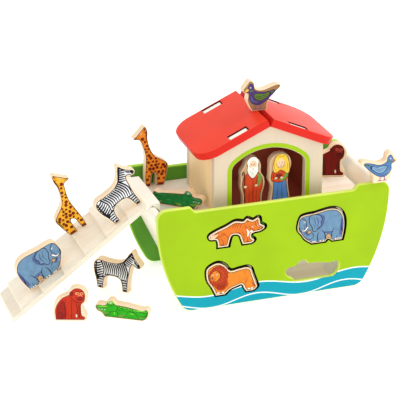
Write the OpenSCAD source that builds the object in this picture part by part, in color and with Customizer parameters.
// Wooden ark toy: a boat with a lift-out deck house, a lift-off roof, a hook-on ramp and loose
// figures. Millimetres. X runs along the hull towards the bow, Y from the front panel to the back
// panel and Z up. The origin is on the floor, under the middle of the hull.

/* [Hull] */
// Length of the side panels
hull_l = 360; // [330:5:400]
// Outside depth of the hull, over both panels
hull_depth = 185; // [175:1:220]
// Thickness of the side panels
panel_t = 9; // [7:0.5:11]
// Height of the panels along the low middle stretch
sheer_z = 156; // [150:1:175]
// How far the panel ends stand above the middle
end_rise = 8; // [4:1:14]
// Length of the low middle stretch
waist_l = 242; // [200:2:280]
// Run of the slope from the middle to a raised end
rise_run = 10; // [8:1:20]
// Height at which the panels are longest
widest_z = 148; // [130:1:148]
// Radius of the panels' curved ends
side_r = 280; // [240:5:360]
// Radius of the panels' bottom corners
bilge_r = 20; // [12:1:28]
// Radius of the panels' top corners
top_r = 15; // [8:1:16]
// Thickness of the base board
base_t = 9; // [6:0.5:12]
// Thickness of the stern and bow boards
end_t = 14; // [10:1:18]
// Lean of the end boards from upright, in degrees
end_lean = 25; // [22:0.5:30]
// How far the rounded top of an end board sits in from the panel's end
end_inset = 6; // [2:0.5:12]
// How far the centre of that rounded top sits below the panel's middle edge
end_drop = 8.5; // [6:0.1:12]
// Radius of the dowels
dowel_r = 3; // [2:0.5:4]
// Depth of a dowel in a side panel
dowel_in_panel = 6; // [4:0.5:7]
// Depth of a dowel in a board
dowel_in_board = 18; // [12:1:24]

/* [Deck] */
// Thickness of the deck
deck_t = 9; // [6:0.5:12]
// How far the deck lies below the panels' middle edge
deck_drop = 22; // [18:1:30]
// Gap between the deck's ends and the end boards
deck_end_gap = 6; // [4:0.5:10]
// Gap between the deck's long edges and what stands beside them
deck_side_gap = 1; // [0.6:0.1:3]
// Length of a cleat along the panel
cleat_l = 30; // [20:1:32]
// Height of a cleat
cleat_h = 9; // [6:1:14]
// Depth of a cleat, out from the panel
cleat_d = 14; // [11:0.5:16]
// Gap between the outer cleats and the end boards
cleat_gap = 4; // [2:0.5:5]
// Place of the middle cleats along the hull
cleat_mid_x = 9.5; // [8:0.5:11]

/* [House] */
// Width of the house
house_w = 168; // [150:2:190]
// Depth of the house over both gable walls
house_d = 125; // [110:1:130]
// Thickness of the house walls
wall_t = 12; // [9:0.5:14]
// Height of the gables' peak above the deck
gable_h = 127; // [118:1:140]
// Slope of the roof in degrees
roof_slope = 24.2; // [18:0.1:28]
// Width of the doorway
door_w = 114; // [100:1:120]
// Height of the doorway
door_h = 93.5; // [88:0.5:97]
// Radius of the doorway's crown
door_crown_r = 80; // [70:1:100]
// Radius of the doorway's upper corners
door_corner_r = 16; // [10:1:20]

/* [Roof] */
// Length of a roof board down the slope
roof_l = 113; // [105:1:125]
// Depth of the roof boards, front to back
roof_d = 133; // [128:1:140]
// Thickness of the roof boards
roof_t = 12; // [9:0.5:14]
// Radius of the roof boards' eave corners
roof_corner_r = 30; // [15:1:40]
// Distance of a slot's middle from the ridge, measured level
slot_x = 46; // [40:1:52]
// Length of a slot, measured level
slot_l = 28; // [20:1:32]
// Clearance round a tab in its slot
tab_clear = 0.5; // [0.3:0.1:1]
// How far a tab stops below the roof's surface
tab_recess = 1; // [0.5:0.5:3]

/* [Ramp] */
// Width of the ramp at the landing
ramp_w = 105; // [90:1:120]
// Width of the ramp at its toe
ramp_toe_w = 86; // [70:1:90]
// Thickness of the ramp's plank
ramp_t = 7; // [6:0.5:9]
// Level distance from the hook notch to where the plank's underside meets the floor
ramp_run = 204.5; // [190:0.5:230]
// Length of the flat foot
ramp_foot = 3.5; // [2:0.5:6]
// Distance from the notch to the landing's joint with the plank
landing_out = 10; // [9:0.1:14]
// Distance from the notch to the landing's end inside the hull
landing_in = 11.5; // [10:0.5:13]
// Thickness of the landing
landing_t = 10; // [9:0.5:13]
// Width of the hook notch
notch_w = 17; // [15:0.5:18]
// Depth of the hook notch
notch_d = 7; // [5:0.1:7.5]
// Distance from one tread's crest to the next, along the slope
tread_pitch = 40.5; // [39:0.5:41]
// Height of a crest above the plank, square to the slope
tread_h = 4.3; // [3.5:0.1:5]

/* [Figures] */
// Thickness of the figures
figure_t = 14; // [12:0.5:15]
// Height of the giraffes
giraffe_h = 97; // [92:0.5:100.5]
// Height of the zebras
zebra_h = 69; // [65.5:0.5:71.5]
// Height of the elephants
elephant_h = 52; // [49:0.5:54]
// Height of the fox
fox_h = 40; // [38:0.5:41.5]
// Height of the lion
lion_h = 52; // [49:0.5:54]
// Height of the crocodiles
crocodile_h = 29; // [27.5:0.5:30]
// Height of the monkeys
monkey_h = 54; // [51:0.5:56]
// Height of the birds
bird_h = 47; // [44.5:0.5:48.5]
// Height of the man
man_h = 79; // [75:0.5:82]
// Height of the woman
woman_h = 78.5; // [74.5:0.5:81.5]
// Distance of the zebra on the floor from the stern
floor_zebra_out = 39.5; // [37:0.5:42]
// Distance of the monkey on the floor from the stern
floor_monkey_out = 127; // [122:1:132]
// Distance of the monkey on the floor from the ramp's side
floor_monkey_aside = 7.5; // [6:0.5:12]
// Distance of the crocodile on the floor from the stern
floor_crocodile_out = 54; // [49:1:59]
// Distance of the crocodile on the floor from the ramp's side
floor_crocodile_aside = 26.5; // [24:0.5:32]
// Clearance round a figure in its cut-out
hole_clear = 2; // [1.2:0.1:2.4]
// How far the figures in the cut-outs sit behind the panel's face
hole_recess = 0.5; // [0:0.1:1]
// Gap under a figure that stands on wood
stand_gap = 0.2; // [0.1:0.05:0.4]
// Gap between loose pieces that rest on each other
rest_gap = 0.3; // [0.2:0.05:0.5]

/* [Hidden] */

// Points on each stretch of a figure's curve, and on each arc of a board
curve_steps = 4;
arc_steps = 10;

// Places worked out from the sizes above
panel_in_y = hull_depth / 2 - panel_t;
end_top_x = hull_l / 2 - end_inset;
end_top_z = sheer_z - end_drop;
deck_z = sheer_z - deck_drop;
piece_back_y = hull_depth / 2 - hole_recess - figure_t;
deck_front_y = -min(piece_back_y, panel_in_y) + deck_side_gap;
deck_back_y = panel_in_y - deck_side_gap;
gable_z = deck_z + gable_h;
roof_rise = tan(roof_slope);
roof_z = gable_z + rest_gap;
ridge_top_z = roof_z + roof_t * cos(roof_slope);
notch_angle = atan(2 * notch_d / notch_w);
notch_z = end_top_z + (end_t / 2 + rest_gap) / cos(notch_angle);
landing_z = notch_z - notch_d;
ramp_foot_x = -end_top_x - ramp_run;
ramp_toe_x = ramp_foot_x - ramp_foot;
ramp_angle = atan(landing_z / (ramp_run - landing_out));
landing_top = landing_z + landing_t;
joint_x = -end_top_x - landing_out;
crest_up = tread_h / cos(ramp_angle);
crest_run = tread_pitch * cos(ramp_angle);
function plank_top(x) = (x - ramp_foot_x) * tan(ramp_angle) + ramp_t / cos(ramp_angle);
function ramp_half(x) =
    (ramp_w - (ramp_w - ramp_toe_w) * (joint_x - x) / (joint_x - ramp_toe_x)) / 2;

// The top tread ends level with the landing; as many follow below it as fit
top_crest_x = joint_x - (plank_top(joint_x) + crest_up - landing_top) * crest_run / crest_up;
function crest_x(k) = top_crest_x - k * crest_run;
last_tread = floor((top_crest_x - ramp_foot_x) / crest_run);
tread_angle = atan(tan(ramp_angle) - crest_up / crest_run);

// How far a tread lies below the line of the crests, at a distance up from its own crest
function tread_fall(up) = up * tread_h / (tread_pitch - crest_up * sin(ramp_angle));

// Places of the figures: [x, y] of the middle of the base, then the turn about Z
deck_giraffe_at = [-house_w / 2 - 48, deck_back_y - 1.5 - figure_t / 2, 0];
deck_crocodile_at = [-house_w / 2 - 37, -14, -42];
deck_monkey_at = [house_w / 2 + 47, 22, -17];
door_figure_y = -house_d / 2 + 8.5 + figure_t / 2;
man_at = [-21.5, door_figure_y, 0];
woman_at = [21.5, door_figure_y, 0];
floor_zebra_at = [-end_top_x - floor_zebra_out, 15, -42];
floor_monkey_at = [-end_top_x - floor_monkey_out, -ramp_w / 2 - floor_monkey_aside, -20];
floor_crocodile_at = [-end_top_x - floor_crocodile_out, -ramp_w / 2 - floor_crocodile_aside, -33];
ridge_bird_at = [-2, -20, 0];
bow_bird_at = [hull_l / 2 - 17.5, -hull_depth / 2 + panel_t / 2 - 1, 0];

// Places of the cut-outs in the front panel: [x, z] of the middle of the piece's base
fox_at = [-59, 94.5];
elephant_at = [72, 79.6];
lion_at = [-60.8, 18];
crocodile_at = [60.7, 22];

// Places of the figures on the ramp: a crest's number, how far up from it, and y
ramp_zebra_at = [0, 3, -34];
ramp_giraffe_at = [2, 10, 26.5];
ramp_elephant_at = [last_tread - 1, crest_run / cos(tread_angle) - 19, -21.5];

// Outlines of the figures, facing right, with the feet on 0. A third number marks a corner.
GIRAFFE = [
    [-14, 0, 1], [-1, 0, 1], [-1.5, 10], [-1, 19], [1, 21.5], [5, 19], [6, 12], [7, 0, 1],
    [15, 0, 1], [16, 15], [15, 34], [15, 50], [19.5, 67], [24, 76], [33, 78], [28, 84], [20, 93],
    [15, 97], [11, 88], [11, 77], [7, 61], [0, 49], [-12, 41], [-20, 34], [-19.5, 24], [-17, 12]
];
ZEBRA = [
    [-26, 0, 1], [-15, 0, 1], [-13, 16], [-6, 22], [6, 22], [13, 17], [15, 0, 1], [25, 0, 1],
    [26, 18], [29, 33], [33, 46], [38, 43], [44, 42], [47, 47], [42, 54], [37, 61], [33, 69],
    [28, 65], [21, 54], [8, 47], [-10, 47], [-24, 48], [-31, 40], [-31, 26], [-28, 14]
];
ELEPHANT = [
    [-34, 0, 1], [-18, 0, 1], [-12, 4], [-7, 0, 1], [14, 0, 1], [25, 8], [30.5, 16], [36, 23],
    [37, 30], [33, 44], [26, 47], [12, 48], [1, 50], [-15, 52], [-26, 49], [-33.5, 41], [-37, 29],
    [-36.5, 13]
];
FOX = [
    [-29, 0, 1], [-13, 0, 1], [-9.5, 14], [-6, 17], [3, 15], [7, 6], [9, 0, 1], [22, 0, 1],
    [27, 4], [22.5, 9], [22, 14], [27, 16.5], [36, 17.5], [43, 23], [36, 29], [33, 39], [24, 36],
    [15, 40], [10, 36], [-3, 38], [-17, 32], [-33, 26], [-43, 20], [-41, 14], [-31, 12]
];
LION = [
    [-28, 0, 1], [-17, 0, 1], [-14, 5], [-10, 12], [-4, 11], [8, 7], [16, 0, 1], [30, 0, 1],
    [36, 13], [43, 25], [45, 36], [44, 44], [38, 49], [27, 52], [17, 47], [8, 37], [-4, 38],
    [-18, 39], [-24, 35], [-27, 26], [-32, 12], [-34, 5]
];
CROCODILE = [
    [-31, 0, 1], [27, 0, 1], [31, 6], [38, 9.5], [41, 16], [37, 20.5], [26, 21], [23, 26],
    [18, 29], [13, 28.5], [10, 24], [4, 23], [-8, 22], [-20, 20], [-31, 18.5], [-36, 20.5],
    [-40, 18], [-40.5, 12], [-37, 4]
];
MONKEY = [
    [-22, 0, 1], [22, 0, 1], [24, 6], [20, 15], [18, 25], [24, 31], [25.5, 41], [20, 50],
    [11, 54], [2, 51], [-3, 43], [-11, 39], [-19, 33], [-24, 21], [-24, 8]
];
BIRD = [
    [-11, 0, 1], [11, 0, 1], [15, 7], [18.5, 16], [18, 25], [25, 31], [20, 39], [14.5, 45],
    [8.5, 41], [6.5, 33], [-3, 30], [-18, 34], [-27, 36], [-31, 32.5], [-21, 23], [-12, 12]
];
MAN = [
    [-15, 0, 1], [15, 0, 1], [15, 18], [19, 34], [18, 46], [13, 55], [13, 66], [9, 77], [0, 82],
    [-9, 77], [-14, 66], [-19, 58], [-18.5, 46], [-19, 33], [-15, 18]
];
WOMAN = [
    [-16, 0, 1], [17, 0, 1], [13, 24], [12, 36], [14, 48], [17, 60], [15, 72], [8, 79], [0, 80.5],
    [-9, 78], [-16, 70], [-16.5, 58], [-17, 45], [-17.5, 38], [-13, 26]
];

// A smooth closed curve through the points, straight between two corners
function flat(p) = [p[0], p[1]];
function is_corner(p) = len(p) > 2;
function before(pts, i) = flat(pts[(i + len(pts) - 1) % len(pts)]);
function after(pts, i) = flat(pts[(i + 1) % len(pts)]);
function unit(v) = v / norm(v);
function heading(pts, i) = is_corner(pts[i]) ? [0, 0] : unit(after(pts, i) - before(pts, i));
function on_curve(p, q, m, n, t) =
    (2 * t ^ 3 - 3 * t ^ 2 + 1) * p + (t ^ 3 - 2 * t ^ 2 + t) * m
    + (3 * t ^ 2 - 2 * t ^ 3) * q + (t ^ 3 - t ^ 2) * n;
function smooth(pts) = [
    for (i = [0 : len(pts) - 1])
        let (
            next = (i + 1) % len(pts),
            p = flat(pts[i]),
            q = flat(pts[next]),
            steps = is_corner(pts[i]) && is_corner(pts[next]) ? 1 : curve_steps
        )
        for (k = [0 : steps - 1])
            on_curve(p, q, heading(pts, i) * norm(q - p), heading(pts, next) * norm(q - p), k / steps)
];

// A figure's curve, made as tall as asked
function top_of(pts) = max([for (p = pts) p[1]]);
function sized(pts, h) = let (c = smooth(pts)) c * h / top_of(c);

// The same curve moved outwards by a distance, with mitred corners
function outward(a, b) = let (d = unit(b - a)) [d[1], -d[0]];
function grown(pts, distance) = [
    for (i = [0 : len(pts) - 1])
        let (
            n1 = outward(before(pts, i), pts[i]),
            n2 = outward(pts[i], after(pts, i)),
            mid = unit(n1 + n2)
        )
        pts[i] + mid * distance / max(mid * n1, 0.6)
];
function facing(pts, way) = [for (p = pts) [way * p[0], p[1]]];
function moved(pts, by) = [for (p = pts) p + by];
function mirrored(pts) = [for (i = [len(pts) - 1 : -1 : 0]) [-pts[i][0], pts[i][1]]];
function arc(centre, r, from, to) = [
    for (k = [0 : arc_steps])
        let (a = from + (to - from) * k / arc_steps)
        centre + r * [cos(a), sin(a)]
];

giraffe = sized(GIRAFFE, giraffe_h);
zebra = sized(ZEBRA, zebra_h);
elephant = sized(ELEPHANT, elephant_h);
fox = sized(FOX, fox_h);
lion = sized(LION, lion_h);
crocodile = sized(CROCODILE, crocodile_h);
monkey = sized(MONKEY, monkey_h);
bird = sized(BIRD, bird_h);
man = sized(MAN, man_h);
woman = sized(WOMAN, woman_h);

// The zebra on the ramp stands on two treads, on the lower ends of its feet
zebra_feet = [ZEBRA[0][0], ZEBRA[6][0]] * zebra_h / top_of(smooth(ZEBRA));
zebra_fall = tread_fall(ramp_zebra_at[1] + min(tread_pitch + zebra_feet[0], zebra_feet[1]));

// Right half of a side panel: bottom corner, curved end, top corner and the slope to the waist
side_centre = [hull_l / 2 - side_r, widest_z];
bilge_centre = [
    side_centre[0] + sqrt((side_r - bilge_r) ^ 2 - (widest_z - bilge_r) ^ 2),
    bilge_r
];
bilge_end = atan2(bilge_centre[1] - widest_z, bilge_centre[0] - side_centre[0]);
top_centre = [hull_l / 2 - top_r, sheer_z + end_rise - top_r];
half_panel = concat(
    arc(bilge_centre, bilge_r, -90, bilge_end),
    arc(side_centre, side_r, bilge_end, 0),
    arc(top_centre, top_r, 0, 90),
    [
        for (k = [arc_steps : -1 : 0])
            let (t = k / arc_steps)
            [waist_l / 2 + rise_run * t, sheer_z + end_rise * (1 - cos(180 * t)) / 2]
    ]
);
panel_outline = concat(half_panel, mirrored(half_panel));

// Middle line and faces of the bow board at a height; the stern board is its mirror image
function end_mid_x(z) = end_top_x - (end_top_z - z) * tan(end_lean);
function end_in_x(z) = end_mid_x(z) - end_t / 2 / cos(end_lean);
function end_out_x(z) = end_mid_x(z) + end_t / 2 / cos(end_lean);

// Half width of the doorway's crown, and its outline from the deck up
door_crown = [0, deck_z + door_h - door_crown_r];
door_corner = [
    door_w / 2 - door_corner_r,
    door_crown[1] + sqrt((door_crown_r - door_corner_r) ^ 2 - (door_w / 2 - door_corner_r) ^ 2)
];
door_turn = atan2(door_corner[1] - door_crown[1], door_corner[0]);
half_door = concat(
    [[door_w / 2, deck_z - 1]],
    arc(door_corner, door_corner_r, 0, door_turn),
    arc(door_crown, door_crown_r, door_turn, 90)
);
door_outline = concat(half_door, mirrored(half_door));

// Right half of a gable wall, with the tab that goes up through the roof
tab_x0 = slot_x - slot_l / 2 + tab_clear;
tab_x1 = slot_x + slot_l / 2 - tab_clear;
tab_up = (roof_t - tab_recess) / cos(roof_slope) + rest_gap;
function gable_top(x) = gable_z - x * roof_rise;
half_gable = [
    [house_w / 2, deck_z],
    [house_w / 2, gable_top(house_w / 2)],
    [tab_x1, gable_top(tab_x1)],
    [tab_x1, gable_top(tab_x1) + tab_up],
    [tab_x0, gable_top(tab_x0) + tab_up],
    [tab_x0, gable_top(tab_x0)],
    [0, gable_z]
];
gable_outline = concat(half_gable, mirrored(half_gable));

// A flat shape in the XZ plane, given thickness from y = from to y = to
module upright(from, to) {
    translate([0, to, 0]) rotate([90, 0, 0]) linear_extrude(to - from) children();
}

// Dowels on one side of the hull: [x, z] of each
dowel_places = concat(
    [
        for (side = [-1, 1], z = [base_t + 2 * dowel_r + 12, end_top_z - 24])
            [side * end_mid_x(z), z]
    ],
    [for (part = [-0.6, 0, 0.6]) [part * end_in_x(0), base_t / 2]]
);
dowel_clear = 0.05;

module dowels(r, extra) {
    for (side = [-1, 1], p = dowel_places)
        translate([p[0], side * (panel_in_y + dowel_in_panel + extra), p[1]])
            rotate([side * 90, 0, 0])
                cylinder(r = r, h = dowel_in_panel + dowel_in_board + 2 * extra, $fn = 32);
}

module cutout(outline, place, way) {
    rise = hole_clear - stand_gap;
    polygon(moved(facing(grown(outline, hole_clear), way), place + [0, rise]));
}

module front_panel() {
    color("yellowgreen") difference() {
        upright(-hull_depth / 2, -panel_in_y) difference() {
            polygon(panel_outline);
            cutout(fox, fox_at, 1);
            cutout(elephant, elephant_at, -1);
            cutout(lion, lion_at, -1);
            cutout(crocodile, crocodile_at, -1);
        }
        dowels(dowel_r + dowel_clear, dowel_clear);
    }
}

module back_panel() {
    color("yellowgreen") difference() {
        upright(panel_in_y, hull_depth / 2) polygon(panel_outline);
        dowels(dowel_r + dowel_clear, dowel_clear);
    }
}

module base_board() {
    color("burlywood") difference() {
        upright(-panel_in_y, panel_in_y) polygon([
            [-end_in_x(0), 0], [end_in_x(0), 0], [end_in_x(base_t), base_t],
            [-end_in_x(base_t), base_t]
        ]);
        dowels(dowel_r + dowel_clear, dowel_clear);
    }
}

module end_board(side) {
    outline = concat(
        [[end_in_x(0), 0], [end_out_x(0), 0]],
        arc([end_top_x, end_top_z], end_t / 2, -end_lean, 180 - end_lean)
    );
    color("wheat") difference() {
        upright(-panel_in_y, panel_in_y) polygon(facing(outline, side));
        dowels(dowel_r + dowel_clear, dowel_clear);
    }
}

module stern_board() { end_board(-1); }

module bow_board() { end_board(1); }

module deck_cleats() {
    top = deck_z - deck_t;
    end_x = end_in_x(top - cleat_h) - cleat_gap - cleat_l / 2;
    color("wheat") for (y = [-panel_in_y, panel_in_y - cleat_d], x = [-end_x, cleat_mid_x, end_x])
        translate([x - cleat_l / 2, y, top - cleat_h]) cube([cleat_l, cleat_d, cleat_h]);
}

module hull_dowels() { color("tan") dowels(dowel_r, 0); }

module deck() {
    low = deck_z - deck_t;
    low_x = end_in_x(low) - deck_end_gap;
    high_x = end_in_x(deck_z) - deck_end_gap;
    color("burlywood") upright(deck_front_y, deck_back_y) polygon([
        [-low_x, low], [low_x, low], [high_x, deck_z], [-high_x, deck_z]
    ]);
}

module house_front_wall() {
    color("wheat") upright(-house_d / 2, -house_d / 2 + wall_t) difference() {
        polygon(gable_outline);
        polygon(door_outline);
    }
}

module house_back_wall() {
    color("wheat") upright(house_d / 2 - wall_t, house_d / 2) polygon(gable_outline);
}

module side_wall(side) {
    outside = house_w / 2;
    inside = outside - wall_t;
    color("wheat") upright(-house_d / 2 + wall_t, house_d / 2 - wall_t) polygon(facing([
        [inside, deck_z], [outside, deck_z], [outside, gable_top(outside)],
        [inside, gable_top(inside)]
    ], side));
}

module house_left_wall() { side_wall(-1); }

module house_right_wall() { side_wall(1); }

module roof_board() {
    outline = concat(
        [[0, -roof_d / 2]],
        arc([roof_l - roof_corner_r, -roof_d / 2 + roof_corner_r], roof_corner_r, -90, 0),
        arc([roof_l - roof_corner_r, roof_d / 2 - roof_corner_r], roof_corner_r, 0, 90),
        [[0, roof_d / 2]]
    );
    slot_w = wall_t + 2 * tab_clear;
    slot_y = house_d / 2 - wall_t / 2;
    difference() {
        translate([0, 0, roof_z]) rotate([0, roof_slope, 0]) linear_extrude(roof_t) polygon(outline);
        for (side = [-1, 1])
            translate([slot_x - slot_l / 2, side * slot_y - slot_w / 2, roof_z - roof_l])
                cube([slot_l, slot_w, 2 * roof_l]);
    }
}

module roof_left() { color("tomato") mirror([1, 0, 0]) roof_board(); }

module roof_right() { color("tomato") roof_board(); }

// A board of the ramp, which narrows towards the toe
module tapered() {
    from = ramp_toe_x - landing_out;
    to = joint_x + landing_out;
    intersection() {
        upright(-ramp_w, ramp_w) children();
        translate([0, 0, -ramp_t]) linear_extrude(landing_top + 2 * ramp_t) polygon([
            [from, -ramp_half(from)], [to, -ramp_half(to)], [to, ramp_half(to)], [from, ramp_half(from)]
        ]);
    }
}

module ramp_plank() {
    color("blanchedalmond") tapered() polygon([
        [ramp_toe_x, 0], [ramp_foot_x, 0], [joint_x, landing_z], [joint_x, plank_top(joint_x)],
        [ramp_toe_x, plank_top(ramp_toe_x)]
    ]);
}

// Wedges with upright risers
module ramp_treads() {
    color("antiquewhite") tapered() {
        polygon([
            [top_crest_x, plank_top(top_crest_x)], [joint_x, plank_top(joint_x)],
            [joint_x, landing_top], [top_crest_x, plank_top(top_crest_x) + crest_up]
        ]);
        for (k = [1 : last_tread])
            let (x = crest_x(k), next = crest_x(k - 1))
            polygon([
                [x, plank_top(x)], [next, plank_top(next)], [x, plank_top(x) + crest_up]
            ]);
    }
}

module ramp_landing() {
    notch_x = -end_top_x;
    inside = notch_x + landing_in;
    color("blanchedalmond") upright(-ramp_w / 2, ramp_w / 2) polygon([
        [joint_x, landing_z], [notch_x - notch_w / 2, landing_z], [notch_x, notch_z],
        [notch_x + notch_w / 2, landing_z], [inside, landing_z], [inside, landing_top],
        [joint_x, landing_top]
    ]);
}

// A flat figure that stands on the origin, with its printed faces square to Y
module figure(outline, way) {
    upright(-figure_t / 2, figure_t / 2) polygon(facing(outline, way));
}

module standing(place, z) {
    translate([place[0], place[1], z]) rotate([0, 0, place[2]]) children();
}

module in_panel(place) {
    translate([place[0], -hull_depth / 2 + hole_recess + figure_t / 2, place[1]]) children();
}

// On the ramp, a distance up from a crest, leaning as far as the ramp or as a tread does
module on_ramp(place, lean, fall = 0) {
    x = crest_x(place[0]);
    translate([x, place[2], plank_top(x) + crest_up]) rotate([0, -lean, 0])
        translate([place[1], 0, stand_gap - fall]) children();
}

module panel_fox() { color("darkorange") in_panel(fox_at) figure(fox, 1); }

module panel_elephant() { color("steelblue") in_panel(elephant_at) figure(elephant, -1); }

module panel_lion() { color("chocolate") in_panel(lion_at) figure(lion, -1); }

module deck_giraffe() {
    color("orange") standing(deck_giraffe_at, deck_z + stand_gap) figure(giraffe, -1);
}

module deck_crocodile() {
    color("seagreen") standing(deck_crocodile_at, deck_z + stand_gap) figure(crocodile, 1);
}

module deck_monkey() {
    color("maroon") standing(deck_monkey_at, deck_z + stand_gap) figure(monkey, 1);
}

module man_figure() { color("firebrick") standing(man_at, deck_z + stand_gap) figure(man, 1); }

module woman_figure() {
    color("royalblue") standing(woman_at, deck_z + stand_gap) figure(woman, 1);
}

module ramp_elephant() {
    color("slategray") on_ramp(ramp_elephant_at, tread_angle) figure(elephant, 1);
}

module ramp_giraffe() {
    color("goldenrod") on_ramp(ramp_giraffe_at, tread_angle) figure(giraffe, 1);
}

module ramp_zebra() {
    color("dimgray") on_ramp(ramp_zebra_at, ramp_angle, zebra_fall) figure(zebra, 1);
}

module floor_zebra() { color("dimgray") standing(floor_zebra_at, 0) figure(zebra, 1); }

module floor_monkey() { color("brown") standing(floor_monkey_at, 0) figure(monkey, 1); }

module floor_crocodile() {
    color("forestgreen") standing(floor_crocodile_at, 0) figure(crocodile, -1);
}

module bow_bird() {
    color("cornflowerblue") standing(bow_bird_at, sheer_z + end_rise + stand_gap) figure(bird, 1);
}

module ridge_bird() {
    color("slateblue") standing(ridge_bird_at, ridge_top_z + stand_gap) figure(bird, -1);
}

front_panel();
back_panel();
base_board();
stern_board();
bow_board();
deck_cleats();
hull_dowels();
deck();
house_front_wall();
house_back_wall();
house_left_wall();
house_right_wall();
roof_left();
roof_right();
ramp_plank();
ramp_treads();
ramp_landing();
panel_fox();
panel_elephant();
panel_lion();
deck_giraffe();
deck_crocodile();
deck_monkey();
man_figure();
woman_figure();
ramp_elephant();
ramp_giraffe();
ramp_zebra();
floor_zebra();
floor_monkey();
floor_crocodile();
bow_bird();
ridge_bird();
